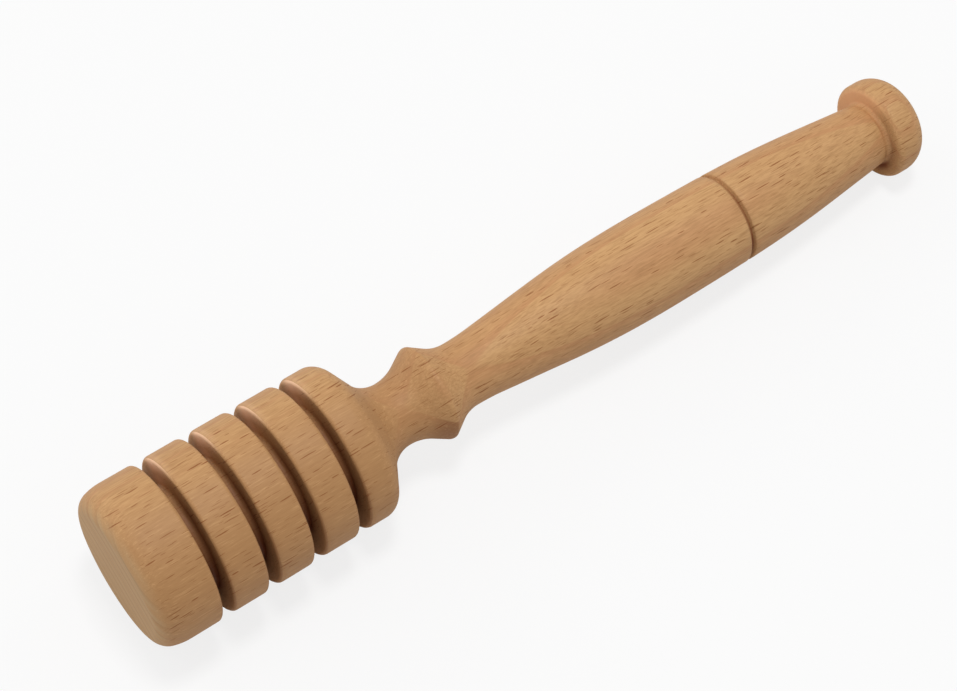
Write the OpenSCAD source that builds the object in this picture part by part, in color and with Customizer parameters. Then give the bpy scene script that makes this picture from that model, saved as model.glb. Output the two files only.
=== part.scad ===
// Honey dipper turned from one length of beech, lying on its side.
// The outline is one path of radius against distance from the head end, and is revolved once.
// It is made of arcs and straights that run into each other with no corner, as a turner cuts them.

/* [Head] */
// Largest diameter of the grooved head
head_d = 30; // [28:0.5:34]
// Length of the plain nose in front of the first groove
nose_l = 11.4; // [10:0.1:16]
// Radius that rounds the rim of the flat end face
rim_round = 3.2; // [1.5:0.1:4]
// Radius of the shallow crown behind that rim
crown_round = 10.5; // [9:0.5:16]
// Distance from the end face to the widest point of the nose
crown_l = 5.3; // [4.5:0.1:7]
// Number of honey grooves cut into the head
groove_count = 4; // [2:1:6]
// Width of a groove between its walls
groove_w = 2.2; // [1.8:0.1:3.5]
// Thickness of the ring that is left between two grooves
ring_l = 6.9; // [4:0.1:9]
// Diameter of the core at the bottom of the grooves
core_d = 18.7; // [13:0.1:20]
// Radius that eases the two lips of each groove
lip_round = 0.8; // [0.4:0.1:1.4]
// Radius in the corners at the bottom of each groove
groove_round = 0.7; // [0.2:0.1:0.9]
// How much smaller in radius each ring is than the one before it
ring_step = 0.075; // [0:0.025:0.15]

/* [Shoulder and first neck] */
// Straight length behind the last groove, before the head rounds down
shoulder_l = 3.9; // [2:0.1:8]
// Length over which the head runs down to the first neck
shoulder_run = 10.3; // [9.5:0.1:16]
// Radius of the round at the top of that run
shoulder_round = 3.2; // [2.5:0.1:4]
// Radius of the hollow at the bottom of that run
shoulder_cove = 5.9; // [4.5:0.1:7]
// Diameter at the first neck
front_neck_d = 12.2; // [11.2:0.1:14]

/* [Bead] */
// Diameter over the ridge of the bead
bead_d = 18.1; // [16:0.1:19]
// Radius of the ridge on its side towards the head
bead_front_round = 1.3; // [0.5:0.1:2]
// Radius of the ridge on its side towards the handle
bead_back_round = 0.6; // [0.3:0.1:1.5]
// Length from the first neck up to the ridge
bead_front_run = 7.7; // [7.2:0.1:9]
// Length from the ridge down to the second neck
bead_back_run = 6.7; // [6.2:0.1:9]
// Radius of the hollow in front of the bead
bead_front_cove = 8.8; // [5:0.1:10]
// Radius of the hollow behind the bead
bead_back_cove = 7.2; // [4:0.1:8.4]

/* [Handle] */
// Diameter at the second neck
back_neck_d = 12.3; // [11.6:0.1:14]
// Largest diameter of the handle
swell_d = 18.1; // [16:0.1:18.7]
// Length from the second neck to the widest point of the handle
swell_run = 40.7; // [39:0.1:60]
// Radius of the long hollow that leaves the second neck
swell_cove = 50; // [40:1:70]
// Radius of the long round that reaches the widest point
swell_round = 205; // [150:5:230]
// Radius of the nearly straight back behind the widest point
back_round = 900; // [600:50:1500]
// Length from the widest point to the ring cut in the handle
ring_cut_run = 18.8; // [12:0.1:24]
// Width of that ring cut at the surface
ring_cut_w = 1.5; // [0.8:0.1:2]
// Depth of that ring cut
ring_cut_depth = 0.8; // [0.4:0.1:1.2]
// How far behind its middle the ring cut is deepest, because the tool leaned towards the knob
ring_cut_lean = 0.35; // [0:0.05:0.35]
// Radius with which the handle falls away behind the ring cut
tail_round = 250; // [180:5:300]
// Length from the ring cut to the end of the handle
tail_run = 33.8; // [30:0.1:45]
// Diameter at the end of the handle
tail_d = 12.4; // [11.5:0.1:13]
// Radius that eases the edge at the end of the handle
tail_edge_round = 0.5; // [0.2:0.1:0.6]

/* [Knob] */
// Length of the hollow between the handle and the knob
quirk_l = 1; // [0.8:0.1:1.6]
// Smallest diameter in that hollow, which is a half round
quirk_d = 10; // [8:0.1:10]
// Diameter of the knob
knob_d = 19; // [17:0.5:24]
// Length of the knob
knob_l = 7.4; // [7:0.1:9]
// Radius of the knob's edge towards the handle
knob_inner_round = 1.2; // [0.5:0.1:2]
// Radius of the knob's edge at the far end
knob_outer_round = 4.5; // [2.5:0.1:5]

/* [Hidden] */
$fn = 256;

// How far the chords along an arc may lie inside the arc
arc_error = 0.005;
// Points nearer than this to the one before are left out of the path
least_step = 0.002;

head_r = head_d / 2;
core_r = core_d / 2;
front_neck_r = front_neck_d / 2;
bead_r = bead_d / 2;
back_neck_r = back_neck_d / 2;
swell_r = swell_d / 2;
tail_r = tail_d / 2;
quirk_r = quirk_d / 2;
knob_r = knob_d / 2;
shoulder_r = head_r - groove_count * ring_step;

// Distances from the head end to where each form starts or peaks
shoulder_s = nose_l + groove_count * groove_w + (groove_count - 1) * ring_l;
run_down_s = shoulder_s + shoulder_l;
front_neck_s = run_down_s + shoulder_run;
bead_s = front_neck_s + bead_front_run;
back_neck_s = bead_s + bead_back_run;
swell_s = back_neck_s + swell_run;
ring_cut_s = swell_s + ring_cut_run;
tail_s = ring_cut_s + tail_run;
knob_s = tail_s + quirk_l;
end_s = knob_s + knob_l;

// The rim arc lies inside the crown arc and touches it where both lean alike
rim_centre_r = head_r - crown_round
    + sqrt(pow(crown_round - rim_round, 2) - pow(crown_l - rim_round, 2));
rim_lean = atan2(crown_l - rim_round, rim_centre_r - head_r + crown_round);

// The back arc has turned through this angle at the ring cut, where the tail arc takes over
back_lean = asin(ring_cut_run / back_round);
ring_cut_r = swell_r - back_round * (1 - cos(back_lean));
tail_centre = [ring_cut_r - tail_round * cos(back_lean), ring_cut_s - tail_round * sin(back_lean)];

// A straight taper leaves the tail arc and points at the end of the handle
tail_reach = [tail_r, tail_s] - tail_centre;
taper_lean = atan2(tail_reach[1], tail_reach[0]) - acos(tail_round / norm(tail_reach));
tail_edge_s = tail_s - tail_edge_round;
tail_edge_r = tail_r + (tail_edge_round * sin(taper_lean) - tail_edge_round) / cos(taper_lean);

// At rest the shoulder and the knob's outer edge touch the table, so the axis dips to the knob
rest_run = end_s - knob_outer_round - run_down_s;
rest_drop = (shoulder_r - shoulder_round) - (knob_r - knob_outer_round);
rest_dip = atan2(rest_drop, rest_run)
    + asin((shoulder_round - knob_outer_round) / norm([rest_run, rest_drop]));
rest_height = run_down_s * sin(rest_dip)
    + (shoulder_r - shoulder_round) * cos(rest_dip) + shoulder_round;
rest_start = rim_round * cos(rest_dip) - rim_centre_r * sin(rest_dip) - rim_round;
rest_end = (end_s - knob_outer_round) * cos(rest_dip)
    + (knob_r - knob_outer_round) * sin(rest_dip) + knob_outer_round;

// How many chords an arc of this radius and angle needs
function chords(bend, turn) = max(2, ceil(abs(turn) / (2 * acos(1 - arc_error / bend))));

// Directions are angles from straight out of the wood, positive towards the knob.
// Points and centres are [radius, distance from the head end].

// Points along an arc that bulges out of the wood
function crown(centre, bend, from, to) =
    let (count = chords(bend, to - from))
    [for (i = [0 : count])
        let (angle = from + (to - from) * i / count)
        centre + bend * [cos(angle), sin(angle)]];

// Points along an arc that is hollowed into the wood
function cove(centre, bend, from, to) =
    let (count = chords(bend, to - from))
    [for (i = [0 : count])
        let (angle = from + (to - from) * i / count)
        centre - bend * [cos(angle), -sin(angle)]];

// Lean of the straight flank that touches a crown above it and a cove below it
function flank_lean(run, drop, bends) =
    asin(bends / norm([run, bends - drop])) - atan2(bends - drop, run);

// From a high place down to a low one further on: crown, straight flank, cove
function fall(high, low, crown_bend, cove_bend) =
    let (lean = flank_lean(low[1] - high[1], high[0] - low[0], crown_bend + cove_bend))
    concat(
        crown(high - [crown_bend, 0], crown_bend, 0, lean),
        cove(low + [cove_bend, 0], cove_bend, -lean, 0));

// From a low place up to a high one further on: cove, straight flank, crown
function rise(low, high, cove_bend, crown_bend) =
    let (lean = flank_lean(high[1] - low[1], high[0] - low[0], crown_bend + cove_bend))
    concat(
        cove(low + [cove_bend, 0], cove_bend, 0, lean),
        crown(high - [crown_bend, 0], crown_bend, -lean, 0));

// A quarter round that ends at a wall facing the knob
function back_edge(radius, wall_s, bend) =
    crown([radius - bend, wall_s - bend], bend, 0, 90);

// A quarter round that starts at a wall facing the head end
function front_edge(radius, wall_s, bend) =
    crown([radius - bend, wall_s + bend], bend, -90, 0);

// Flat end face, rounded rim and shallow crown
function nose() = concat(
    [[0, 0]],
    crown([rim_centre_r, rim_round], rim_round, -90, -rim_lean),
    crown([head_r - crown_round, crown_l], crown_round, -rim_lean, 0));

// Over one lip, down the wall, round the two corners at the core, up the next wall and over its lip
function groove(front_r, back_r, from, to) = concat(
    back_edge(front_r, from, lip_round),
    cove([core_r + groove_round, from + groove_round], groove_round, -90, 0),
    cove([core_r + groove_round, to - groove_round], groove_round, 0, 90),
    front_edge(back_r, to, lip_round));

function grooves() = [
    for (i = [0 : groove_count - 1])
        let (from = nose_l + i * (groove_w + ring_l))
        each groove(head_r - i * ring_step, head_r - (i + 1) * ring_step, from, from + groove_w)];

// The head runs down to the first neck, and the bead stands between the two necks
function necks_and_bead() = concat(
    fall([shoulder_r, run_down_s], [front_neck_r, front_neck_s], shoulder_round, shoulder_cove),
    rise([front_neck_r, front_neck_s], [bead_r, bead_s], bead_front_cove, bead_front_round),
    fall([bead_r, bead_s], [back_neck_r, back_neck_s], bead_back_round, bead_back_cove));

// The handle swells, takes the ring cut, falls away and ends in an eased edge
function handle() = concat(
    rise([back_neck_r, back_neck_s], [swell_r, swell_s], swell_cove, swell_round),
    crown([swell_r - back_round, swell_s], back_round, 0,
        asin((ring_cut_run - ring_cut_w / 2) / back_round)),
    [[ring_cut_r - ring_cut_depth, ring_cut_s + ring_cut_lean]],
    crown(tail_centre, tail_round,
        asin(sin(back_lean) + ring_cut_w / 2 / tail_round), taper_lean),
    crown([tail_edge_r, tail_edge_s], tail_edge_round, taper_lean, 90));

// A short hollow sets off the knob, which ends the dipper with a flat face
function knob() = concat(
    cove([quirk_r + quirk_l / 2, tail_s + quirk_l / 2], quirk_l / 2, -90, 90),
    front_edge(knob_r, knob_s, knob_inner_round),
    back_edge(knob_r, end_s, knob_outer_round),
    [[0, end_s]]);

// A path with each point left out that repeats the one before it
function tidy(path) = [
    for (i = [0 : len(path) - 1])
        if (i == 0 || norm(path[i] - path[max(i - 1, 0)]) > least_step)
            path[i]];

// The whole dipper is one piece of wood, laid down on its shoulder and its knob
module dipper() {
    color([0.73, 0.57, 0.40])
        translate([-(rest_start + rest_end) / 2, 0, rest_height])
            rotate([0, 90 + rest_dip, 0])
                rotate_extrude()
                    polygon(tidy(concat(nose(), grooves(), necks_and_bead(), handle(), knob())));
}

dipper();
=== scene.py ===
"""A honey dipper turned from one length of beech, lying on a pale table.

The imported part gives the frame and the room. The turned body is shaped again here from the same sizes, with
finer curves, torn lips and tool marks, and is dressed in a solid beech texture that runs through the wood.
"""

import logging
import math
from dataclasses import dataclass, field
from enum import Enum
from typing import Union

import bpy
from mathutils import Matrix, Vector


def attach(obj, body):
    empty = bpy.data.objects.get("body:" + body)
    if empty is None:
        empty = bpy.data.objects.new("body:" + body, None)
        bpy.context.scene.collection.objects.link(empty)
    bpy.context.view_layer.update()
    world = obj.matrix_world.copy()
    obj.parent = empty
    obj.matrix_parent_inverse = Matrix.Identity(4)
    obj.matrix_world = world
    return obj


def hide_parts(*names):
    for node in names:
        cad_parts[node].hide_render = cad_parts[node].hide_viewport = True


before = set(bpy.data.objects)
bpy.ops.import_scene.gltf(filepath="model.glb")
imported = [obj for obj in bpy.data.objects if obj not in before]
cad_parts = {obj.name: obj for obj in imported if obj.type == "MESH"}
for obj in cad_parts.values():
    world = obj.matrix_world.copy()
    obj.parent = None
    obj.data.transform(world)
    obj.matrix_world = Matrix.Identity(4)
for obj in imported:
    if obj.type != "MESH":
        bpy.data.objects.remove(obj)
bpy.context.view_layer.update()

MM = 0.001
NOISE_MIDDLE = 0.5
# groove carries the painted shade of the hollows; end_grain and torn are the wood's own.
MARKS = ("end_grain", "groove", "torn")
log = logging.getLogger("dipper")

Number = Union[int, float]
Triple = tuple[float, float, float]
Point = tuple[float, float]
Colour = tuple[float, float, float, float]


class Strand:
    """One socket of a node tree. Python's operators on it add Math nodes."""

    def __init__(self, bench: "Bench", socket: bpy.types.NodeSocket) -> None:
        """Holds the socket and the bench that it is on.

        Args:
            bench: the tree's builder.
            socket: an output socket.
        """
        self.bench = bench
        self.socket = socket

    def __add__(self, other: "Feed") -> "Strand":
        """This plus other."""
        return self.bench.math("ADD", self, other)

    def __radd__(self, other: "Feed") -> "Strand":
        """Other plus this."""
        return self.bench.math("ADD", other, self)

    def __sub__(self, other: "Feed") -> "Strand":
        """This less other."""
        return self.bench.math("SUBTRACT", self, other)

    def __rsub__(self, other: "Feed") -> "Strand":
        """Other less this."""
        return self.bench.math("SUBTRACT", other, self)

    def __mul__(self, other: "Feed") -> "Strand":
        """This times other."""
        return self.bench.math("MULTIPLY", self, other)

    def __rmul__(self, other: "Feed") -> "Strand":
        """Other times this."""
        return self.bench.math("MULTIPLY", other, self)

    def __truediv__(self, other: "Feed") -> "Strand":
        """This divided by other."""
        return self.bench.math("DIVIDE", self, other)

    def __rtruediv__(self, other: "Feed") -> "Strand":
        """Other divided by this."""
        return self.bench.math("DIVIDE", other, self)

    def __mod__(self, other: "Feed") -> "Strand":
        """What is left of this after whole steps of other, never negative."""
        return self.bench.math("FLOORED_MODULO", self, other)

    def __rmod__(self, other: "Feed") -> "Strand":
        """What is left of other after whole steps of this."""
        return self.bench.math("FLOORED_MODULO", other, self)

    def __neg__(self) -> "Strand":
        """This with its sign turned."""
        return self.bench.math("MULTIPLY", self, -1.0)

    def floor(self) -> "Strand":
        """The whole number below."""
        return self.bench.math("FLOOR", self)

    def root(self) -> "Strand":
        """The square root."""
        return self.bench.math("SQRT", self)

    def cosine(self) -> "Strand":
        """The cosine of an angle in radians."""
        return self.bench.math("COSINE", self)

    def sine(self) -> "Strand":
        """The sine of an angle in radians."""
        return self.bench.math("SINE", self)

    def wave(self) -> "Strand":
        """A wave from -1 to 1 that goes round once for each whole step of this."""
        return self.bench.math("SINE", self * math.tau)

    def size(self) -> "Strand":
        """How big it is, without its sign."""
        return self.bench.math("ABSOLUTE", self)

    def ease(self, low: float, high: float, start: float = 0.0, end: float = 1.0) -> "Strand":
        """A smooth step from start to end as this goes from low to high.

        Args:
            low: where the step starts.
            high: where the step ends.
            start: the value up to low.
            end: the value from high on.

        Returns:
            The stepped value.
        """
        return self.bench.node(
            "ShaderNodeMapRange",
            {"interpolation_type": "SMOOTHSTEP"},
            {0: self, 1: low, 2: high, 3: start, 4: end},
        )


Feed = Union[Strand, Number, bool, str, Triple, Colour, bpy.types.Material]


class Bench:
    """Builds a node tree: one method adds any node, and the others are short forms of it."""

    def __init__(self, tree: bpy.types.NodeTree) -> None:
        """Holds the tree that the nodes go into."""
        self.tree = tree

    def add(self, kind: str, settings: dict | None = None, feeds: dict | None = None) -> bpy.types.Node:
        """Adds a node, sets what it is and then what goes into it.

        Args:
            kind: the node's type, such as ShaderNodeMath.
            settings: the node's own settings, which are made first.
            feeds: a value or a strand for each input, by its name or number.

        Returns:
            The node.
        """
        node = self.tree.nodes.new(kind)
        for name, value in (settings or {}).items():
            setattr(node, name, value)
        for name, value in (feeds or {}).items():
            socket = node.inputs[name]
            if isinstance(value, Strand):
                self.tree.links.new(value.socket, socket)
            else:
                socket.default_value = value
        return node

    def node(
        self, kind: str, settings: dict | None = None, feeds: dict | None = None, out: int | str = 0
    ) -> Strand:
        """Adds a node as add() does, and returns one of its outputs.

        Args:
            kind: the node's type.
            settings: the node's own settings.
            feeds: what goes into it.
            out: the output's name or number.

        Returns:
            That output.
        """
        return Strand(self, self.add(kind, settings, feeds).outputs[out])

    def math(self, operation: str, *terms: Feed) -> Strand:
        """One Math node.

        Args:
            operation: what it works out.
            terms: its values or strands.

        Returns:
            The result.
        """
        return self.node("ShaderNodeMath", {"operation": operation}, dict(enumerate(terms)))

    def vector_math(self, operation: str, *terms: Feed, out: int | str = 0) -> Strand:
        """One Vector Math node.

        Args:
            operation: what it works out.
            terms: its vectors or strands.
            out: which output to return.

        Returns:
            The result.
        """
        return self.node("ShaderNodeVectorMath", {"operation": operation}, dict(enumerate(terms)), out)

    def vector(self, x: Feed, y: Feed, z: Feed) -> Strand:
        """Three numbers as one vector."""
        return self.node("ShaderNodeCombineXYZ", None, {0: x, 1: y, 2: z})

    def tint(self, factor: Feed, below: Feed, above: Feed) -> Strand:
        """One colour laid over another.

        Args:
            factor: how much of the upper one shows, from 0 to 1.
            below: the lower colour.
            above: the upper colour.

        Returns:
            The mixed colour.
        """
        return self.node(
            "ShaderNodeMix",
            {"data_type": "RGBA", "blend_type": "MIX", "clamp_factor": True},
            {0: factor, 6: below, 7: above},
            out=2,
        )

    def noise(self, place: Strand, detail: float, rough: float) -> Strand:
        """Smooth noise of about 0 to 1, with cells of about one unit.

        Args:
            place: where it is read.
            detail: how many finer layers it has.
            rough: how strong they are.

        Returns:
            The noise.
        """
        return self.node(
            "ShaderNodeTexNoise",
            {"noise_dimensions": "3D"},
            {"Vector": place, "Scale": 1.0, "Detail": detail, "Roughness": rough},
        )


def linear(red: int, green: int, blue: int) -> Colour:
    """A colour as a screen shows it, made linear for a shader.

    Args:
        red: from 0 to 255.
        green: from 0 to 255.
        blue: from 0 to 255.

    Returns:
        The linear colour with an alpha of 1.
    """

    def one(value: float) -> float:
        """One channel made linear."""
        share = value / 255
        return share / 12.92 if share <= 0.04045 else ((share + 0.055) / 1.055) ** 2.4

    return (one(red), one(green), one(blue), 1.0)


@dataclass(frozen=True)
class Rest:
    """How the dipper lies on the table: where its head end is and how far its axis dips to the knob."""

    head_x: float = -85.38455
    head_z: float = 16.59846
    dip: float = 2.442083

    def axis(self) -> Vector:
        """The way from the head end to the knob."""
        lean = math.radians(self.dip)
        return Vector((math.cos(lean), 0.0, -math.sin(lean)))

    def head(self) -> Vector:
        """The middle of the head's end face, in metres."""
        return Vector((self.head_x, 0.0, self.head_z)) * MM


class Arc(Enum):
    """Whether an arc of the outline bulges out of the wood or is hollowed into it."""

    CROWN = "crown"
    COVE = "cove"


@dataclass
class Stop:
    """One point of the outline, in millimetres, how much painted shade it gets and how torn the wood is
    there, from 0 to 1.
    """

    radius: float
    station: float
    # groove sets the painted shade in the hollows, and with it the painted light at the grooves' upper ends.
    groove: float = 0.0
    torn: float = 0.0


@dataclass
class Outline:
    """The turned outline, in millimetres, from the head end to the knob.

    It is made of arcs and straights that run into each other, each from the sizes of the part's own source.
    The walls and shades give how far along a wall each point lies and how much painted shade it gets there.
    """

    head_d: float = 30.0
    nose_l: float = 11.4
    rim_round: float = 3.2
    crown_round: float = 10.5
    crown_l: float = 5.3
    groove_count: int = 4
    groove_w: float = 2.2
    ring_l: float = 6.9
    core_d: float = 18.7
    lip_round: float = 0.8
    groove_round: float = 0.7
    ring_step: float = 0.075
    shoulder_l: float = 3.9
    shoulder_run: float = 10.3
    shoulder_round: float = 3.2
    shoulder_cove: float = 5.9
    front_neck_d: float = 12.2
    bead_d: float = 18.1
    bead_front_round: float = 1.3
    bead_back_round: float = 0.6
    bead_front_run: float = 7.7
    bead_back_run: float = 6.7
    bead_front_cove: float = 8.8
    bead_back_cove: float = 7.2
    back_neck_d: float = 12.3
    swell_d: float = 18.1
    swell_run: float = 40.7
    swell_cove: float = 50.0
    swell_round: float = 205.0
    back_round: float = 900.0
    ring_cut_run: float = 18.6
    ring_cut_w: float = 1.2
    ring_cut_depth: float = 0.8
    ring_cut_lean: float = 0.3
    tail_round: float = 250.0
    tail_run: float = 34.0
    tail_d: float = 12.4
    tail_edge_round: float = 0.35
    quirk_l: float = 1.0
    quirk_d: float = 12.0
    knob_d: float = 19.0
    knob_l: float = 7.4
    knob_inner_round: float = 1.2
    knob_outer_round: float = 4.5
    face_shares: tuple[float, ...] = (0.0, 0.04, 0.12, 0.25, 0.4, 0.55, 0.7, 0.82, 0.91, 0.97)
    end_shares: tuple[float, ...] = (0.9, 0.75, 0.55, 0.35, 0.15, 0.0)
    # The points down each groove wall. The back wall's and the back lip's last numbers and wall_darkening
    # give painted shade, deeper down the walls.
    front_wall: tuple[float, ...] = (0.15, 0.35, 0.55, 0.75, 0.9)
    back_wall: tuple[Point, ...] = ((0.9, 0.5), (0.75, 0.24), (0.55, 0.16), (0.35, 0.24), (0.15, 0.36))
    back_lip: tuple[Triple, ...] = ((-90.0, -45.0, 0.32), (-40.0, 0.0, 0.08))
    wall_darkening: float = 2.0
    wall_mending: float = 3.0
    # Points across the ring cut, each with its painted shade.
    ring_cut_shade: tuple[Point, ...] = (
        (-0.9, 0.3), (-0.7, 0.55), (-0.4, 0.8), (-0.1, 1.0), (0.2, 1.15), (0.46, 1.2), (0.56, 0.6),
        (0.72, 0.15), (0.88, 0.0),
    )
    ring_cut_blunt: float = 0.94
    ring_cut_torn: float = 0.8
    tail_edge_end: float = 60.0
    quirk_round: float = 0.7
    quirk_shade: float = 0.12
    chord_error: float = 0.0016
    longest_step: float = 1.2
    nearest: float = 0.004
    stops: list[Stop] = field(default_factory=list)

    def _arc(self, kind: Arc, centre: Point, bend: float, start: float, end: float, **marks: float) -> None:
        """Adds the points along an arc.

        Args:
            kind: a crown or a cove.
            centre: radius and station of the arc's centre.
            bend: the arc's radius.
            start: the first direction, in degrees from straight out, positive towards the knob.
            end: the last direction.
            marks: what the tools did there.
        """
        turn = math.radians(abs(end - start))
        by_error = turn / (2 * math.acos(1 - self.chord_error / bend))
        count = max(2, math.ceil(max(by_error, bend * turn / self.longest_step)))
        for i in range(count + 1):
            angle = math.radians(start + (end - start) * i / count)
            out, on = math.cos(angle), math.sin(angle)
            sign = 1.0 if kind is Arc.CROWN else -1.0
            radius = centre[0] + sign * bend * out
            self.stops.append(Stop(radius, centre[1] + bend * on, **marks))

    @staticmethod
    def _flank_lean(run: float, drop: float, bends: float) -> float:
        """The lean of the straight flank between a crown and a cove.

        Args:
            run: the distance along the axis from the high place to the low one.
            drop: how much lower in radius the low place is.
            bends: the two arcs' radii added.

        Returns:
            The lean in degrees.
        """
        reach = math.hypot(run, bends - drop)
        return math.degrees(math.asin(bends / reach) - math.atan2(bends - drop, run))

    def _fall(self, high: Point, low: Point, crown: float, cove: float) -> None:
        """From a high place down to a low one further on: crown, straight flank, cove.

        Args:
            high: radius and station of the high place.
            low: radius and station of the low place.
            crown: the crown's radius.
            cove: the cove's radius.
        """
        lean = self._flank_lean(low[1] - high[1], high[0] - low[0], crown + cove)
        self._arc(Arc.CROWN, (high[0] - crown, high[1]), crown, 0, lean)
        self._arc(Arc.COVE, (low[0] + cove, low[1]), cove, -lean, 0)

    def _rise(self, low: Point, high: Point, cove: float, crown: float) -> None:
        """From a low place up to a high one further on: cove, straight flank, crown.

        Args:
            low: radius and station of the low place.
            high: radius and station of the high place.
            cove: the cove's radius.
            crown: the crown's radius.
        """
        lean = self._flank_lean(high[1] - low[1], high[0] - low[0], cove + crown)
        self._arc(Arc.COVE, (low[0] + cove, low[1]), cove, 0, lean)
        self._arc(Arc.CROWN, (high[0] - crown, high[1]), crown, -lean, 0)

    def _nose(self) -> None:
        """Flat end face, rounded rim and shallow crown."""
        head_r = self.head_d / 2
        inner = self.crown_round - self.rim_round
        rim_r = head_r - self.crown_round + math.sqrt(inner**2 - (self.crown_l - self.rim_round) ** 2)
        lean = math.degrees(math.atan2(self.crown_l - self.rim_round, rim_r - head_r + self.crown_round))
        for share in self.face_shares:
            self.stops.append(Stop(rim_r * share, 0.0))
        self._arc(Arc.CROWN, (rim_r, self.rim_round), self.rim_round, -90, -lean)
        self._arc(Arc.CROWN, (head_r - self.crown_round, self.crown_l), self.crown_round, -lean, 0)

    def _groove(self, front_r: float, back_r: float, start: float, end: float) -> None:
        """Over one lip, down the wall, along the core, up the next wall and over its lip.

        Args:
            front_r: the radius in front of the groove.
            back_r: the radius behind it.
            start: where the groove starts.
            end: where it ends.
        """
        lip, ease, core_r = self.lip_round, self.groove_round, self.core_d / 2
        self._arc(Arc.CROWN, (front_r - lip, start - lip), lip, 0, 90, torn=1.0)
        top = front_r - lip
        for share in self.front_wall:
            radius = top + (core_r + ease - top) * share
            # Painted shade, deeper down the front wall.
            dark, torn = min(1.0, share * self.wall_darkening), max(0.0, 1 - share * self.wall_mending)
            self.stops.append(Stop(radius, start, dark, torn))
        # The core gets the full painted shade.
        self._arc(Arc.COVE, (core_r + ease, start + ease), ease, -90, 0, groove=1.0)
        self.stops.append(Stop(core_r, (start + end) / 2, groove=1.0))
        self._arc(Arc.COVE, (core_r + ease, end - ease), ease, 0, 90, groove=1.0)
        top = back_r - lip
        # Painted shade on the back wall.
        for share, dark in self.back_wall:
            radius = top + (core_r + ease - top) * share
            self.stops.append(Stop(radius, end, dark, max(0.0, 1 - share * self.wall_mending)))
        # Painted shade on the back lip, which faces the head end.
        for first, last, dark in self.back_lip:
            self._arc(Arc.CROWN, (top, end + lip), lip, first, last, torn=1.0, groove=dark)

    def _necks_and_bead(self, run_down: float) -> float:
        """The head runs down to the first neck, and the bead stands between the two necks.

        Args:
            run_down: the station where the head starts to run down.

        Returns:
            The station of the second neck.
        """
        shoulder_r = self.head_d / 2 - self.groove_count * self.ring_step
        neck = (self.front_neck_d / 2, run_down + self.shoulder_run)
        bead = (self.bead_d / 2, neck[1] + self.bead_front_run)
        back = (self.back_neck_d / 2, bead[1] + self.bead_back_run)
        self._fall((shoulder_r, run_down), neck, self.shoulder_round, self.shoulder_cove)
        self._rise(neck, bead, self.bead_front_cove, self.bead_front_round)
        self._fall(bead, back, self.bead_back_round, self.bead_back_cove)
        return back[1]

    def _handle(self, start: float) -> float:
        """The handle swells, takes the ring cut, falls away and ends in an eased edge.

        Args:
            start: the station of the second neck.

        Returns:
            The station of the handle's end.
        """
        swell_r, swell_s = self.swell_d / 2, start + self.swell_run
        cut_s = swell_s + self.ring_cut_run
        self._rise((self.back_neck_d / 2, start), (swell_r, swell_s), self.swell_cove, self.swell_round)
        half = self.ring_cut_w / 2
        near = math.degrees(math.asin((self.ring_cut_run - half) / self.back_round))
        self._arc(Arc.CROWN, (swell_r - self.back_round, swell_s), self.back_round, 0, near)
        self.stops[-1].torn = self.ring_cut_torn
        lean = math.asin(self.ring_cut_run / self.back_round)
        cut_r = swell_r - self.back_round * (1 - math.cos(lean))
        deepest = self.ring_cut_lean / half
        # Each point across the ring cut gets its painted shade.
        for share, dark in self.ring_cut_shade:
            sunk = (1 + share) / (1 + deepest) if share < deepest else (1 - share) / (1 - deepest)
            radius = cut_r - self.ring_cut_depth * min(sunk, self.ring_cut_blunt)
            self.stops.append(Stop(radius, cut_s + half * share, dark))
        centre = (cut_r - self.tail_round * math.cos(lean), cut_s - self.tail_round * math.sin(lean))
        end_s = cut_s + self.tail_run
        reach = (self.tail_d / 2 - centre[0], end_s - centre[1])
        taper = math.atan2(reach[1], reach[0]) - math.acos(self.tail_round / math.hypot(*reach))
        first = math.degrees(math.asin(math.sin(lean) + half / self.tail_round))
        here = len(self.stops)
        self._arc(Arc.CROWN, centre, self.tail_round, first, math.degrees(taper))
        self.stops[here].torn = self.ring_cut_torn
        ease = self.tail_edge_round
        edge_r = self.tail_d / 2 + (ease * math.sin(taper) - ease) / math.cos(taper)
        self._arc(Arc.CROWN, (edge_r, end_s - ease), ease, math.degrees(taper), self.tail_edge_end)
        return end_s

    def _knob(self, start: float) -> None:
        """A short hollow sets off the knob, which ends the dipper with a flat face.

        Args:
            start: the station of the handle's end.
        """
        knob_r, knob_s = self.knob_d / 2, start + self.quirk_l
        end_s = knob_s + self.knob_l
        inner, outer = self.knob_inner_round, self.knob_outer_round
        floor, bend = self.quirk_d / 2, self.quirk_round
        # The hollow's cove gets a little painted shade.
        self._arc(Arc.COVE, (floor + bend, knob_s - bend), bend, 0, 90, groove=self.quirk_shade)
        self._arc(Arc.CROWN, (knob_r - inner, knob_s + inner), inner, -90, 0)
        self._arc(Arc.CROWN, (knob_r - outer, end_s - outer), outer, 0, 90)
        for share in self.end_shares:
            self.stops.append(Stop((knob_r - outer) * share, end_s))

    def build(self) -> list[Stop]:
        """Goes along the dipper once.

        Returns:
            The outline's points, with none repeated.
        """
        self.stops = []
        head_r = self.head_d / 2
        self._nose()
        station = self.nose_l
        for i in range(self.groove_count):
            front, back = head_r - i * self.ring_step, head_r - (i + 1) * self.ring_step
            self._groove(front, back, station, station + self.groove_w)
            station += self.groove_w + self.ring_l
        run_down = station - self.ring_l + self.shoulder_l
        self._knob(self._handle(self._necks_and_bead(run_down)))
        kept: list[Stop] = []
        for stop in self.stops:
            last = kept[-1] if kept else None
            if last and math.hypot(stop.radius - last.radius, stop.station - last.station) < self.nearest:
                continue
            kept.append(stop)
        return self._filled(kept)

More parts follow.
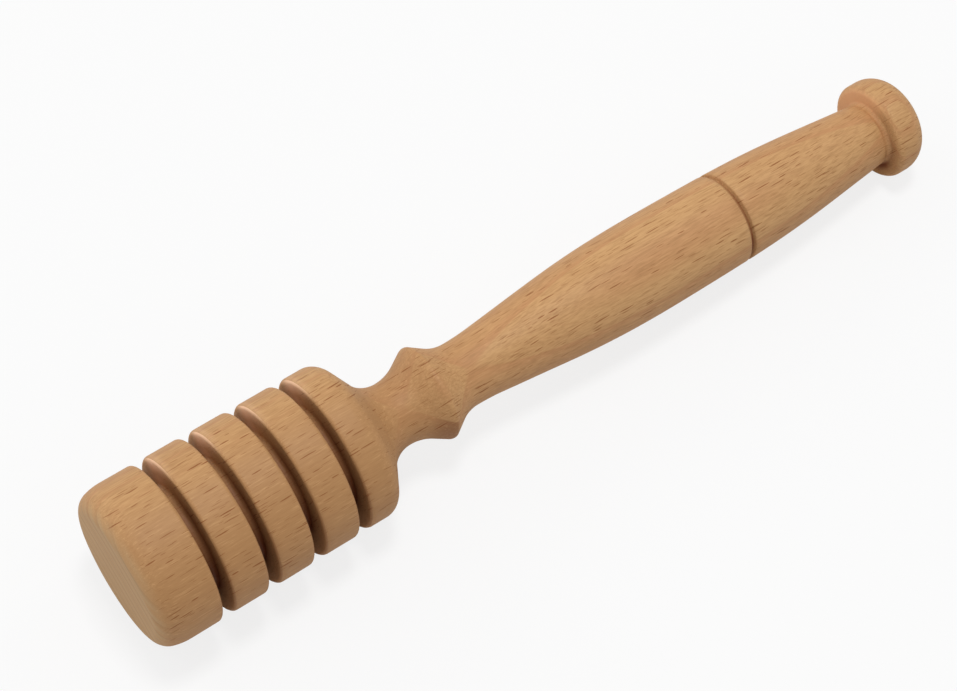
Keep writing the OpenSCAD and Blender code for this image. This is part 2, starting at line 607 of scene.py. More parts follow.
    def _filled(self, stops: list[Stop]) -> list[Stop]:
        """Adds points on long straights, so that marks and noise have something to move.

        Args:
            stops: the outline as the arcs give it.

        Returns:
            The outline with no long gap along the axis.
        """
        full = [stops[0]]
        for after in stops[1:]:
            before = full[-1]
            steps = math.ceil(abs(after.station - before.station) / self.longest_step)
            for i in range(1, steps):
                share = i / steps
                full.append(
                    Stop(
                        before.radius + (after.radius - before.radius) * share,
                        before.station + (after.station - before.station) * share,
                    )
                )
            full.append(after)
        return full


@dataclass(frozen=True)
class Fade:
    """A smooth step in strength: start up to low, end from high on."""

    low: float
    high: float
    start: float = 0.0
    end: float = 1.0

    def of(self, strand: Strand) -> Strand:
        """The strength for the strand's value."""
        return strand.ease(self.low, self.high, self.start, self.end)


@dataclass(frozen=True)
class Mottle:
    """Noise in the wood: its size along grain, out and side in millimetres, and how fine and rough it is."""

    size: Triple
    detail: float
    rough: float = 0.5

    def at(self, bench: Bench, grain: Strand, out: Strand, side: Strand) -> Strand:
        """Reads the noise.

        Args:
            bench: the material's tree.
            grain: distance along the grain.
            out: distance across the growth layers.
            side: distance along the growth layers.

        Returns:
            The noise, about 0.5 on average.
        """
        place = bench.vector(grain / self.size[0], out / self.size[1], side / self.size[2])
        return bench.noise(place, self.detail, self.rough)


@dataclass(frozen=True)
class Hues:
    """The colours of the wood, and of the painted shade and light laid over it."""

    pale: Colour = linear(203, 160, 110)
    tan: Colour = linear(184, 138, 90)
    blush: Colour = linear(184, 130, 88)
    # dull is the tone of the weak fibre streaks and also the head's painted shade.
    dull: Colour = linear(166, 122, 79)
    # Painted warm shade on the low side.
    warm_shade: Colour = linear(172, 120, 66)
    ray: Colour = linear(126, 66, 22)
    sawn: Colour = linear(184, 155, 115)
    stripe: Colour = linear(152, 120, 84)
    # Painted light on the knob's wall.
    wall: Colour = linear(228, 170, 122)
    # Painted light at the grooves' upper ends.
    glow: Colour = linear(250, 206, 168)
    # Painted shade in the hollows, on the knob's wall and on the bead's lower flank.
    shade_brown: Colour = linear(114, 56, 22)


@dataclass(frozen=True)
class Spot:
    """Where a point of the surface lies in the wood, and how the tools met the wood there.

    In millimetres, grain is the distance from the head end, out the distance from the axis across the growth
    layers, side the distance along them and away the distance from the axis. From 0 to 1, cross is how far
    the fibres are cut across, and groove how much painted shade the hollows give the point.
    """

    grain: Strand
    out: Strand
    side: Strand
    away: Strand
    cross: Strand
    groove: Strand


@dataclass(frozen=True)
class Year:
    """A point's growth layer: how late in it the wood grew, the layer's own tone and its number."""

    late: Strand
    tone: Strand
    depth: Strand


@dataclass(frozen=True)
class Growth:
    """The growth layers, which bend gently round the tree's middle. Sizes are in millimetres."""

    width: float = 3.05
    first: float = 6.14
    bend: float = 120.0
    wander: Mottle = Mottle((30.0, 12.0, 12.0), 1.0)
    wander_reach: float = 0.12
    late: Fade = Fade(0.62, 0.96)
    late_edge: Fade = Fade(0.975, 1.0, 1.0, 0.0)

    def at(self, bench: Bench, spot: Spot) -> Year:
        """Finds the growth layer.

        Args:
            bench: the material's tree.
            spot: the point.

        Returns:
            The layer that the point lies in.
        """
        reach = spot.out + self.bend
        depth = (spot.side * spot.side + reach * reach).root() - self.bend
        wander = self.wander.at(bench, spot.grain, spot.out, spot.side) - NOISE_MIDDLE
        step = (depth - self.first + wander * self.wander_reach) / self.width
        share = step % 1.0
        late = self.late.of(share) * self.late_edge.of(share)
        tone = bench.node(
            "ShaderNodeTexWhiteNoise", {"noise_dimensions": "1D"}, {"W": step.floor() + 0.5}, out="Value"
        )
        return Year(late, tone, step)


@dataclass(frozen=True)
class PlainWood:
    """The wood's own tone: a slow drift, each layer's tone, the late wood and the close lines in it."""

    drift: Fade = Fade(0.25, 0.75, 0.0, 0.45)
    year: float = 0.25
    inner: Fade = Fade(-0.04, 0.04, 0.24, 0.0)
    late: Fade = Fade(1.0, 2.2, 0.5, 0.16)
    lines: float = 2.9
    lines_start: float = 0.2
    lines_drift: float = 0.6
    line: Fade = Fade(0.0, 0.25, 1.0, 0.0)
    line_part: Fade = Fade(0.35, 0.65)
    line_along: Fade = Fade(1.0, 4.0, 0.0, 0.22)

    def lay(self, bench: Bench, hues: Hues, spot: Spot, year: Year, drift: Strand) -> Strand:
        """Lays the ground colour.

        Args:
            bench: the material's tree.
            hues: the wood's colours.
            spot: the point.
            year: its growth layer.
            drift: the slow change of tone.

        Returns:
            The colour.
        """
        colour = bench.tint(self.drift.of(drift), hues.pale, hues.tan)
        colour = bench.tint(year.tone * self.year, colour, hues.tan)
        colour = bench.tint(self.inner.of(year.depth), colour, hues.blush)
        colour = bench.tint(year.late * self.late.of(year.depth), colour, hues.blush)
        phase = year.depth * self.lines + self.lines_start + drift * self.lines_drift
        line = self.line.of(phase.wave().size()) * self.line_part.of(drift)
        return bench.tint(line * self.line_along.of(spot.grain), colour, hues.blush)


@dataclass(frozen=True)
class PaintedShade:
    """Painted shade: the head duller except along its top, a warmer tone on the low side and a brown painted
    shade on the bead's lower flank.
    """

    head_shade_along: Fade = Fade(46.0, 76.0, 1.0, 0.0)
    head_shade_side: Fade = Fade(-14.0, -3.0, 0.1, 0.68)
    warm_shade_side: Fade = Fade(2.0, 9.0, 0.0, 0.14)
    flank_shade_from: Fade = Fade(57.0, 62.0)
    flank_shade_to: Fade = Fade(62.5, 63.5, 1.0, 0.0)
    flank_shade_side: Fade = Fade(2.5, 7.0, 0.0, 0.55)
    flank_shade_depth: Fade = Fade(-0.04, 0.04, 1.0, 0.0)

    def lay(self, bench: Bench, hues: Hues, spot: Spot, year: Year, colour: Strand) -> Strand:
        """Lays the painted shade over the wood.

        Args:
            bench: the material's tree.
            hues: the wood's colours.
            spot: the point.
            year: its growth layer.
            colour: what lies under it.

        Returns:
            The colour with the painted shade.
        """
        # Painted shade: the head duller than the handle, except along its top.
        colour = bench.tint(self.head_shade_along.of(spot.grain) * self.head_shade_side.of(spot.side), colour, hues.dull)
        # Painted shade: a warmer tone on the low side.
        colour = bench.tint(self.warm_shade_side.of(spot.side), colour, hues.warm_shade)
        # Painted shade on the bead's lower flank, where the wood lies inside the first growth boundary.
        flank_shade = self.flank_shade_from.of(spot.grain) * self.flank_shade_to.of(spot.grain) * self.flank_shade_side.of(spot.side)
        return bench.tint(flank_shade * self.flank_shade_depth.of(year.depth), colour, hues.shade_brown)


@dataclass(frozen=True)
class Fibre:
    """Fibre along the grain in hair lines, fine lines and broad streaks, each with its share."""

    hair: Mottle = Mottle((1.6, 0.14, 0.14), 2.0, 0.6)
    hair_share: float = 0.55
    fine: Mottle = Mottle((4.5, 0.3, 0.3), 2.0, 0.6)
    fine_share: float = 1.15
    broad: Mottle = Mottle((14.0, 1.1, 1.1), 2.0)
    broad_share: float = 0.22
    dull: Fade = Fade(-0.34, 0.16, 0.72, 0.0)
    pale: Fade = Fade(0.06, 0.36, 0.0, 0.55)

    def at(self, bench: Bench, grain: Strand, out: Strand, side: Strand) -> Strand:
        """Reads the streaks.

        Args:
            bench: the material's tree.
            grain: distance along the grain.
            out: distance across the growth layers.
            side: distance along the growth layers.

        Returns:
            The streaks, about 0 on average.
        """
        hair = self.hair.at(bench, grain, out, side) - NOISE_MIDDLE
        fine = self.fine.at(bench, grain, out, side) - NOISE_MIDDLE
        broad = self.broad.at(bench, grain, out, side) - NOISE_MIDDLE
        return hair * self.hair_share + fine * self.fine_share + broad * self.broad_share

    def lay(self, bench: Bench, hues: Hues, streak: Strand, colour: Strand) -> Strand:
        """Dulls the wood under the weak streaks and lightens it under the strong ones.

        Args:
            bench: the material's tree.
            hues: the wood's colours.
            streak: the streaks.
            colour: what lies under them.

        Returns:
            The colour with the streaks.
        """
        colour = bench.tint(self.dull.of(streak), colour, hues.dull)
        return bench.tint(self.pale.of(streak), colour, hues.pale)


@dataclass(frozen=True)
class Rays:
    """One set of ray ends: thin sheets across the layers that show as short dark dashes.

    In millimetres: how far apart they are along the grain and along a layer, half the length and half the
    thickness of the largest, and how far a sheet goes across the layers. Bare is the share of places that
    have none, and shift moves one set's sheets away from the other's. The other values shape a dash.
    """

    apart: Point
    half_length: float
    half_thick: float
    bare: float
    sheet: float
    shift: float
    sheet_shift: Point = (7.31, 3.17)
    jitter: float = 0.9
    reshuffle: float = 17.3
    shortest: float = 0.4
    thinnest: float = 0.5
    faintest: float = 0.35
    sheet_taper: float = 0.9
    thinning: float = 0.6
    edge: Fade = Fade(0.0, 0.5)
    onset: Fade = Fade(0.0, 0.1)

    def at(self, bench: Bench, grain: Strand, out: Strand, side: Strand) -> Strand:
        """Finds the ray ends.

        Args:
            bench: the material's tree.
            grain: distance along the grain.
            out: distance across the growth layers.
            side: distance along the growth layers.

        Returns:
            How strongly a point lies in a ray, from 0 to 1.
        """
        sheet = out / self.sheet + self.shift
        slab = sheet.floor()
        across_sheet = (sheet - slab) * 2.0 - 1.0
        place = bench.vector(
            grain / self.apart[0] + slab * self.sheet_shift[0],
            side / self.apart[1] + slab * self.sheet_shift[1],
            0.0,
        )
        cells = bench.add(
            "ShaderNodeTexVoronoi",
            {"voronoi_dimensions": "2D", "feature": "F1"},
            {"Vector": place, "Scale": 1.0, "Randomness": self.jitter},
        )
        off = bench.vector_math("SUBTRACT", place, Strand(bench, cells.outputs["Position"]))
        parts = bench.add("ShaderNodeSeparateXYZ", None, {0: off})
        cell_colour = Strand(bench, cells.outputs["Color"])
        chance = bench.node("ShaderNodeSeparateColor", None, {0: cell_colour}, out="Blue")
        length = self.shortest + (1 - self.shortest) * (chance * self.reshuffle % 1.0)
        along = Strand(bench, parts.outputs["X"]) * (self.apart[0] / self.half_length) / length
        across = Strand(bench, parts.outputs["Y"]) * (self.apart[1] / self.half_thick)
        strength = chance.ease(self.bare, 1.0)
        lens = (1 - along * along) * (1 - across_sheet * across_sheet * self.sheet_taper)
        thick = bench.math("MAXIMUM", lens, 0.0).root() * (self.thinnest + (1 - self.thinnest) * strength)
        core = self.edge.of(thick - across.size() * self.thinning)
        return core * (self.faintest + (1 - self.faintest) * strength) * self.onset.of(strength)


@dataclass(frozen=True)
class SawnEnds:
    """End grain on the two end faces, where the growth layers show as bands."""

    head_face: Fade = Fade(0.6, 2.4, 1.0, 0.0)
    knob_face: Fade = Fade(169.4, 170.8)
    bands: float = 1.37
    bands_drift: float = 0.5
    band: Fade = Fade(-0.8, 0.8, 0.0, 0.5)
    late: float = 0.45
    strength: float = 0.66

    def lay(
        self, bench: Bench, hues: Hues, spot: Spot, year: Year, drift: Strand, colour: Strand
    ) -> Strand:
        """Lays the end grain over the wood.

        Args:
            bench: the material's tree.
            hues: the wood's colours.
            spot: the point.
            year: its growth layer.
            drift: the slow change of tone.
            colour: what lies under it.

        Returns:
            The colour with the end grain.
        """
        band = self.band.of((year.depth * self.bands + drift * self.bands_drift).wave())
        sawn = bench.tint(band, hues.sawn, hues.tan)
        sawn = bench.tint(year.late * self.late, sawn, hues.stripe)
        face = self.head_face.of(spot.grain) + self.knob_face.of(spot.grain)
        return bench.tint(face * spot.cross * self.strength, colour, sawn)


@dataclass(frozen=True)
class KnobWallLightAndShade:
    """Painted light and shade on the knob's wall towards the handle: painted light above, a little painted
    shade below and a painted shadow in the nook.
    """

    along_from: Fade = Fade(158.0, 162.0)
    along_to: Fade = Fade(166.0, 168.0, 1.0, 0.0)
    pale_side: Fade = Fade(-5.0, 0.0, 0.7, 0.0)
    low_side: Fade = Fade(-4.0, 0.0)
    low_away: Fade = Fade(7.2, 9.0, 0.12, 0.0)
    nook_side: Fade = Fade(3.6, 5.2)
    nook_away: Fade = Fade(6.5, 8.2, 1.0, 0.0)
    nook_out: Fade = Fade(-1.0, 2.5, 1.0, 0.1)

    def lay(self, bench: Bench, hues: Hues, spot: Spot, colour: Strand) -> Strand:
        """Lays the wall's painted light and shade over the wood.

        Args:
            bench: the material's tree.
            hues: the wood's colours.
            spot: the point.
            colour: what lies under them.

        Returns:
            The colour with the wall's painted light and shade.
        """
        wall = self.along_from.of(spot.grain) * self.along_to.of(spot.grain) * spot.cross
        face = wall * spot.cross
        # Painted light on the wall's upper part.
        colour = bench.tint(face * self.pale_side.of(spot.side), colour, hues.wall)
        # Painted shade on the wall's lower part, near the handle.
        low = self.low_side.of(spot.side) * self.low_away.of(spot.away)
        colour = bench.tint(face * low, colour, hues.shade_brown)
        # Painted shadow of the handle's end in the nook below it.
        nook = self.nook_side.of(spot.side) * self.nook_away.of(spot.away) * self.nook_out.of(spot.out)
        return bench.tint(wall * nook, colour, hues.shade_brown)


@dataclass(frozen=True)
class GrooveLightAndShade:
    """Painted light and shade in the grooves, the ring cut and the hollow: painted shade inside, deeper on
    the low side, and painted light at the grooves' upper ends.
    """

    rim: Fade = Fade(0.0, 1 / 3)
    glow_side: Fade = Fade(-14.2, -8.0, 0.95, 0.0)
    glow_out: Fade = Fade(-1.0, 4.0)
    dark_side: Fade = Fade(-10.0, -1.0, 0.03, 0.6)
    darkest_side: Fade = Fade(3.0, 9.0, 0.0, 0.4)

    def lay(self, bench: Bench, hues: Hues, spot: Spot, colour: Strand) -> Strand:
        """Lays the grooves' painted light and shade over the wood.

        Args:
            bench: the material's tree.
            hues: the wood's colours.
            spot: the point.
            colour: what lies under them.

        Returns:
            The colour with the grooves' painted light and shade.
        """
        # Painted light at the grooves' upper ends, towards the front.
        glow = self.glow_side.of(spot.side) * self.glow_out.of(spot.out)
        colour = bench.tint(self.rim.of(spot.groove) * glow, colour, hues.glow)
        # Painted shade inside the grooves, the ring cut and the hollow, deeper towards the low side.
        dark = self.dark_side.of(spot.side) + self.darkest_side.of(spot.side)
        return bench.tint(spot.groove * dark, colour, hues.shade_brown)


@dataclass(frozen=True)
class Beech:
    """Bare beech, fine-sanded: growth layers, fibre and ray ends, all as one solid texture, with painted
    shade and light laid over it.

    Sway and ripple bend the fibre and the rays, and their reach is in millimetres. Towards is the way out
    across the growth layers.
    """

    name: str = "beech"
    hues: Hues = Hues()
    towards: Triple = (0.0379, -0.4449, 0.8948)
    growth: Growth = Growth()
    drift: Mottle = Mottle((26.0, 8.0, 8.0), 2.0)
    sway: Mottle = Mottle((60.0, 24.0, 24.0), 1.0)
    sway_side: float = 2.4
    sway_out: float = 1.6
    ripple: Mottle = Mottle((2.2, 3.0, 3.0), 1.0)
    ripple_side: float = 0.16
    plain: PlainWood = PlainWood()
    painted_shade: PaintedShade = PaintedShade()
    fibre: Fibre = Fibre()
    bold: Rays = Rays((5.6, 0.86), 1.8, 0.078, 0.2, 3.6, 0.35)
    faint: Rays = Rays((3.7, 0.46), 1.2, 0.052, 0.2, 2.7, 0.8)
    faint_share: float = 0.7
    rays_along: Fade = Fade(0.3, 1.5, 0.15, 1.0)
    rays_flat: Fade = Fade(0.8, 0.98, 1.0, 0.25)
    rays_tone: float = 0.78
    ends: SawnEnds = SawnEnds()
    wall: KnobWallLightAndShade = KnobWallLightAndShade()
    grooves: GrooveLightAndShade = GrooveLightAndShade()
    roughness: float = 0.56
    rougher: float = 0.1
    gloss: float = 0.3
    refraction: float = 1.45
    relief: float = 0.5
    relief_strength: float = 0.3
    relief_height: float = 0.00005

    def _spot(self, bench: Bench, rest: Rest) -> Spot:
        """Reads where a point is in the wood.

        Args:
            bench: the material's tree.
            rest: how the dipper lies.

        Returns:
            The point's place in the wood.
        """
        axis = rest.axis()
        across = Vector(self.towards)
        across = (across - axis * across.dot(axis)).normalized()
        place = bench.node("ShaderNodeTexCoord", out="Object")
        place = bench.vector_math("SUBTRACT", place, tuple(rest.head()))
        grain, out, side = [
            bench.vector_math("DOT_PRODUCT", place, tuple(way / MM), out="Value")
            for way in (axis, across, axis.cross(across))
        ]
        cross, groove = [
            bench.node("ShaderNodeAttribute", {"attribute_name": name}, out="Fac")
            for name in ("end_grain", "groove")
        ]
        return Spot(grain, out, side, (side * side + out * out).root(), cross, groove)

    def _ray_ends(self, bench: Bench, spot: Spot, out: Strand, side: Strand) -> Strand:
        """Both sets of ray ends, weaker near the head end and where the rays lie flat.

        Args:
            bench: the material's tree.
            spot: the point.
            out: its distance across the layers, swayed.
            side: its distance along the layers, swayed.

        Returns:
            How strongly the point lies in a ray, from 0 to 1.
        """
        bold = self.bold.at(bench, spot.grain, out, side)
        faint = self.faint.at(bench, spot.grain, out, side)
        rays = bench.math("MAXIMUM", bold, faint * self.faint_share)
        return rays * self.rays_along.of(spot.grain) * self.rays_flat.of(spot.side.size() / spot.away)

    def build(self, rest: Rest) -> bpy.types.Material:
        """Makes the material.

        Args:
            rest: how the dipper lies, because the grain follows its axis.

        Returns:
            The material.
        """
        material = bpy.data.materials.new(self.name)
        material.use_nodes = True
        material.node_tree.nodes.clear()
        bench = Bench(material.node_tree)
        hues, spot = self.hues, self._spot(bench, rest)
        where = (bench, spot.grain, spot.out, spot.side)
        sway = self.sway.at(*where) - NOISE_MIDDLE
        ripple = self.ripple.at(*where) - NOISE_MIDDLE
        side = spot.side + sway * self.sway_side + ripple * self.ripple_side
        out = spot.out + sway * self.sway_out

        year, drift = self.growth.at(bench, spot), self.drift.at(*where)
        colour = self.plain.lay(bench, hues, spot, year, drift)
        # Painted shade on the head, the low side and the bead's lower flank.
        colour = self.painted_shade.lay(bench, hues, spot, year, colour)
        streak = self.fibre.at(bench, spot.grain, out, side)
        colour = self.fibre.lay(bench, hues, streak, colour)
        rays = self._ray_ends(bench, spot, out, side)
        colour = bench.tint(rays * self.rays_tone, colour, hues.ray)
        colour = self.ends.lay(bench, hues, spot, year, drift, colour)
        # Painted light and shade on the knob's wall and in the grooves.
        colour = self.wall.lay(bench, hues, spot, colour)
        colour = self.grooves.lay(bench, hues, spot, colour)

        height = (streak - rays) * self.relief
        bump = bench.node(
            "ShaderNodeBump",
            None,
            {"Strength": self.relief_strength, "Distance": self.relief_height, "Height": height},
        )
        shader = bench.node(
            "ShaderNodeBsdfPrincipled",
            None,
            {
                "Base Color": colour,
                "Roughness": self.roughness + (rays + spot.cross) * self.rougher,
                "IOR": self.refraction,
                "Specular IOR Level": self.gloss,
                "Normal": bump,
            },
        )
        bench.add("ShaderNodeOutputMaterial", None, {"Surface": shader})
        return material


@dataclass
class TurnedBody:
    """The whole dipper, one piece of wood, turned on a lathe.

    Skin, tear and unevenness are depths in millimetres: what fine sanding takes off, how deep fibres tear at
    cut edges, and how uneven the sanding is. The cells of the tearing and of the sanding are counted to a
    metre.
    """

    outline: Outline
    rest: Rest
    finish: Beech
    name: str = "turned_beech"
    turns: int = 160
    skin: float = 0.012
    tear: float = 0.07
    unevenness: float = 0.03
    tear_cells: Triple = (500.0, 2600.0, 2600.0)
    tear_detail: float = 3.0
    torn_part: Fade = Fade(0.5, 0.8)
    sanding_cells: float = 90.0
    sanding_detail: float = 2.0
    uneven_part: Fade = Fade(0.25, 0.75)
    merge: float = 2e-6
    seed: int = 11

    def _profile(self) -> bpy.types.Object:
        """The outline as a line of points, with what the tools did stored on each.

        Returns:
            An object whose mesh is that line, x along the axis and y the radius, in metres.
        """
        stops = self.outline.build()
        mesh = bpy.data.meshes.new(self.name)
        points = [(s.station * MM, s.radius * MM, 0.0) for s in stops]
        mesh.from_pydata(points, [(i, i + 1) for i in range(len(points) - 1)], [])
        steep = []
        for i in range(len(stops)):
            before, after = stops[max(i - 1, 0)], stops[min(i + 1, len(stops) - 1)]
            run, climb = after.station - before.station, after.radius - before.radius
            steep.append(abs(climb) / max(math.hypot(run, climb), 1e-6))
        columns = {
            "end_grain": [s**2 for s in steep],
            # The painted shade of the hollows.
            "groove": [s.groove for s in stops],
            "torn": [s.torn for s in stops],
        }
        for name, values in columns.items():
            mesh.attributes.new(name, "FLOAT", "POINT").data.foreach_set("value", values)
        piece = bpy.data.objects.new(self.name, mesh)
        bpy.context.scene.collection.objects.link(piece)
        log.info("outline: %d points", len(points))
        return piece

    def _lathe(self, material: bpy.types.Material) -> bpy.types.GeometryNodeTree:
        """The node tree that turns the outline round its axis and lays the dipper down.

        Args:
            material: the finish that the result gets.

        Returns:
            The tree.
        """
        tree = bpy.data.node_groups.new("lathe", "GeometryNodeTree")
        tree.interface.new_socket("Geometry", in_out="OUTPUT", socket_type="NodeSocketGeometry")
        for name, kind in (
            ("Geometry", "NodeSocketGeometry"),
            ("Turns", "NodeSocketInt"),
            ("Skin", "NodeSocketFloat"),
            ("Tear", "NodeSocketFloat"),
            ("Unevenness", "NodeSocketFloat"),
            ("Seed", "NodeSocketInt"),
        ):
            tree.interface.new_socket(name, in_out="INPUT", socket_type=kind)
        bench = Bench(tree)
        given = tree.nodes.new("NodeGroupInput")
        profile, turns, skin, tear, uneven, seed = [Strand(bench, given.outputs[i]) for i in range(6)]

        rows = bench.node("GeometryNodeAttributeDomainSize", {"component": "MESH"}, {0: profile})
        around = turns + 1
        grid = bench.node("GeometryNodeMeshGrid", None, {"Vertices X": rows, "Vertices Y": around})
        index = bench.node("GeometryNodeInputIndex")
        row = (index / around).floor()
        angle = (index % around) / turns * math.tau

        position = bench.node("GeometryNodeInputPosition")
        place = self._read(bench, profile, position, row, "FLOAT_VECTOR")
        parts = bench.add("ShaderNodeSeparateXYZ", None, {0: place})
        station, radius = Strand(bench, parts.outputs[0]), Strand(bench, parts.outputs[1])
        turned = bench.vector(station, radius * angle.cosine(), radius * angle.sine())
        round_piece = bench.node("GeometryNodeSetPosition", None, {"Geometry": grid, "Position": turned})
        for name in MARKS:
            stored = bench.node(
                "GeometryNodeInputNamedAttribute", {"data_type": "FLOAT"}, {"Name": name}
            )
            value = self._read(bench, profile, stored, row, "FLOAT")
            round_piece = bench.node(
                "GeometryNodeStoreNamedAttribute",
                {"data_type": "FLOAT", "domain": "POINT"},
                {"Geometry": round_piece, "Name": name, "Value": value},
            )
        closed = bench.node(
            "GeometryNodeMergeByDistance", None, {"Geometry": round_piece, "Distance": self.merge}
        )
        closed = bench.node("GeometryNodeFlipFaces", None, {0: closed})

        torn = bench.node("GeometryNodeInputNamedAttribute", {"data_type": "FLOAT"}, {"Name": "torn"})
        fibres = bench.vector_math("MULTIPLY", position, self.tear_cells)
        fray = bench.node(
            "ShaderNodeTexNoise",
            {"noise_dimensions": "4D"},
            {"Vector": fibres, "W": seed, "Scale": 1.0, "Detail": self.tear_detail},
        )
        sanding = bench.node(
            "ShaderNodeTexNoise",
            {"noise_dimensions": "4D"},
            {"Vector": position, "W": seed, "Scale": self.sanding_cells, "Detail": self.sanding_detail},
        )
        depth = skin + torn * self.torn_part.of(fray) * tear + self.uneven_part.of(sanding) * uneven
        normal = bench.node("GeometryNodeInputNormal")
        inward = bench.node("ShaderNodeVectorMath", {"operation": "SCALE"}, {0: normal, "Scale": -depth})
        worn = bench.node("GeometryNodeSetPosition", None, {"Geometry": closed, "Offset": inward})

        laid = bench.node(
            "GeometryNodeTransform",
            None,
            {
                "Geometry": worn,
                "Translation": tuple(self.rest.head()),
                "Rotation": (0.0, math.radians(self.rest.dip), 0.0),
            },
        )
        smooth = bench.node("GeometryNodeSetShadeSmooth", None, {"Geometry": laid, "Shade Smooth": True})
        real = bench.node("GeometryNodeRealizeInstances", None, {0: smooth})
        dressed = bench.node("GeometryNodeSetMaterial", None, {"Geometry": real, "Material": material})
        bench.add("NodeGroupOutput", None, {0: dressed})
        return tree

    @staticmethod
    def _read(bench: Bench, source: Strand, value: Strand, row: Strand, kind: str) -> Strand:
        """Reads a value of the outline at one of its points.

        Args:
            bench: the lathe's tree.
            source: the outline.
            value: what is read.
            row: the number of the point.
            kind: the value's type.

        Returns:
            The value there.
        """
        return bench.node(
            "GeometryNodeSampleIndex",
            {"data_type": kind, "domain": "POINT"},
            {"Geometry": source, "Value": value, "Index": row},
        )

    def build(self) -> bpy.types.Object:
        """Turns the piece, makes it a plain mesh and puts it in the CAD node's place.

        Returns:
            The finished piece.
        """
        material = self.finish.build(self.rest)
        source = self._profile()
        tree = self._lathe(material)
        modifier = source.modifiers.new("lathe", "NODES")
        modifier.node_group = tree
        wanted = {
            "Turns": self.turns,
            "Skin": self.skin * MM,
            "Tear": self.tear * MM,
            "Unevenness": self.unevenness * MM,
            "Seed": self.seed,
        }
        for item in tree.interface.items_tree:
            if item.item_type == "SOCKET" and item.in_out == "INPUT" and item.name in wanted:
                modifier[item.identifier] = wanted[item.name]
        graph = bpy.context.evaluated_depsgraph_get()
        mesh = bpy.data.meshes.new_from_object(
            source.evaluated_get(graph), preserve_all_data_layers=True, depsgraph=graph
        )
        bpy.data.objects.remove(source)
        piece = bpy.data.objects.new(self.name, mesh)
        bpy.context.scene.collection.objects.link(piece)
        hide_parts("dipper")
        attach(piece, "root")
        return piece


@dataclass(frozen=True)
class SoftBox:
    """A square soft lamp: where it hangs, what it points at, its side in metres and its power in watts."""

    name: str
    at: Triple
    aim: Triple
    size: float
    power: float

    def hang(self) -> None:
        """Makes the lamp and turns it to what it points at."""
        data = bpy.data.lights.new(self.name, "AREA")
        data.shape = "SQUARE"
        data.size = self.size
        data.energy = self.power
        lamp = bpy.data.objects.new(self.name, data)
        lamp.location = self.at
        way = Vector(self.aim) - Vector(self.at)
        lamp.rotation_mode = "QUATERNION"
        lamp.rotation_quaternion = way.to_track_quat("-Z", "Y")
        bpy.context.scene.collection.objects.link(lamp)


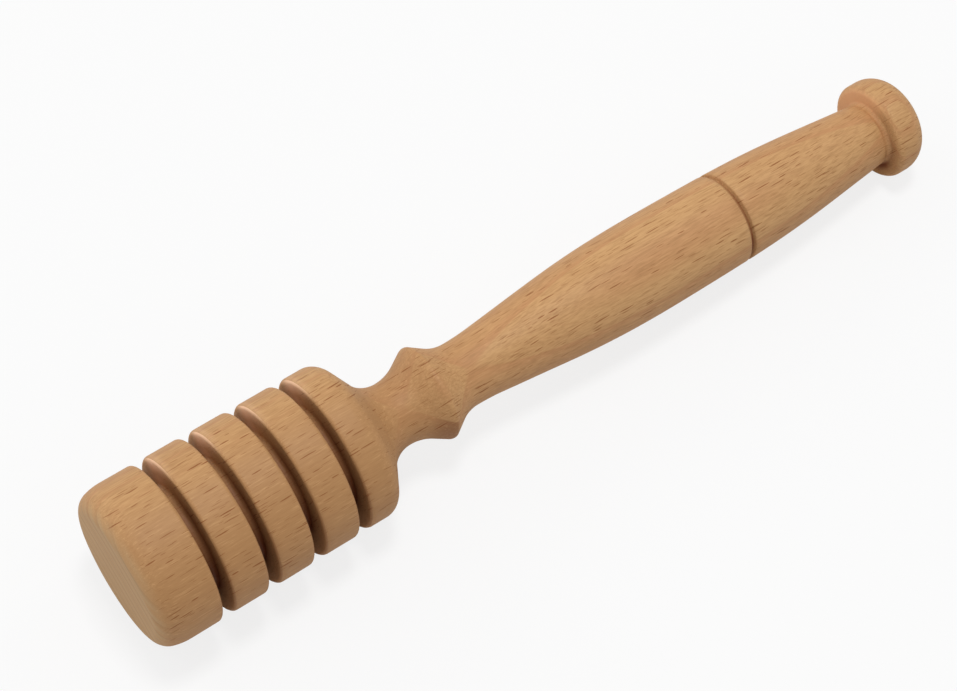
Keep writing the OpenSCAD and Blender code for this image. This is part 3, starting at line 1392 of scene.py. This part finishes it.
@dataclass
class Studio:
    """The pale table, the soft light and the camera that sees the dipper as the photograph does."""

    camera_at: Triple = (-0.137041, -0.1743, 0.375724)
    camera_right: Triple = (0.81229, -0.58326, -0.00014)
    camera_up: Triple = (0.49967, 0.69575, 0.51602)
    lens: float = 90.28
    floor_half: float = 2.0
    sensor: float = 36.0
    clip: Point = (0.01, 20.0)
    floor_colour: Colour = (0.75, 0.75, 0.75, 1.0)
    floor_lift: float = 0.8
    white: Colour = (1.0, 1.0, 1.0, 1.0)
    sky: float = 0.5
    lamps: tuple[SoftBox, ...] = (
        SoftBox("top_box", (0.08, 0.0, 1.1), (-0.03, 0.0, 0.0), 0.22, 6.0),
        SoftBox("end_box", (-2.55, 0.75, 0.75), (0.0, 0.0, 0.01), 1.0, 9.4),
        SoftBox("knob_box", (1.2, 0.2, 0.9), (0.0, 0.0, 0.01), 0.4, 1.3),
        SoftBox("back_box", (-0.4, 0.95, 0.6), (-0.04, 0.0, 0.01), 0.45, 1.9),
    )

    def _camera(self) -> None:
        """Sets up the camera with the frame's wide side as its sensor."""
        data = bpy.data.cameras.new("camera")
        data.lens = self.lens
        data.sensor_width = self.sensor
        data.clip_start, data.clip_end = self.clip
        camera = bpy.data.objects.new("camera", data)
        right = Vector(self.camera_right).normalized()
        up = Vector(self.camera_up)
        up = (up - right * up.dot(right)).normalized()
        back = right.cross(up)
        turn = Matrix((right, up, back)).transposed().to_4x4()
        camera.matrix_world = Matrix.Translation(Vector(self.camera_at)) @ turn
        bpy.context.scene.collection.objects.link(camera)
        bpy.context.scene.camera = camera

    def _floor(self) -> None:
        """Lays the pale table under the dipper."""
        half = self.floor_half
        mesh = bpy.data.meshes.new("table")
        mesh.from_pydata(
            [(-half, -half, 0), (half, -half, 0), (half, half, 0), (-half, half, 0)], [], [(0, 1, 2, 3)]
        )
        floor = bpy.data.objects.new("table", mesh)
        bpy.context.scene.collection.objects.link(floor)
        material = bpy.data.materials.new("pale_table")
        material.use_nodes = True
        material.node_tree.nodes.clear()
        bench = Bench(material.node_tree)
        matt = bench.node("ShaderNodeBsdfDiffuse", None, {"Color": self.floor_colour})
        white = bench.node("ShaderNodeEmission", None, {"Color": self.white, "Strength": 1.0})
        seen = bench.node("ShaderNodeLightPath", out="Is Camera Ray")
        mixed = bench.node("ShaderNodeMixShader", None, {0: seen * self.floor_lift, 1: matt, 2: white})
        bench.add("ShaderNodeOutputMaterial", None, {"Surface": mixed})
        mesh.materials.append(material)

    def _sky(self) -> None:
        """An even pale light from all round, which the camera sees as white."""
        world = bpy.data.worlds.new("sky")
        bpy.context.scene.world = world
        world.use_nodes = True
        world.node_tree.nodes.clear()
        bench = Bench(world.node_tree)
        seen = bench.node("ShaderNodeLightPath", out="Is Camera Ray")
        strength = self.sky + seen * (1.0 - self.sky)
        glow = bench.node("ShaderNodeBackground", None, {"Color": self.white, "Strength": strength})
        bench.add("ShaderNodeOutputWorld", None, {"Surface": glow})

    def build(self) -> None:
        """Sets up floor, sky, lamps and camera."""
        scene = bpy.context.scene
        scene.view_settings.view_transform = "Standard"
        self._floor()
        self._sky()
        for lamp in self.lamps:
            lamp.hang()
            log.info("%s: %.1f watts", lamp.name, lamp.power)
        self._camera()


def main() -> None:
    """Builds the dipper and its studio, and reports each piece."""
    logging.basicConfig(level=logging.INFO, format="%(name)s: %(message)s")
    body = TurnedBody(Outline(), Rest(), Beech()).build()
    log.info("%s: %d faces", body.name, len(body.data.polygons))
    Studio().build()
    log.info("studio ready")


if __name__ == "__main__":
    main()
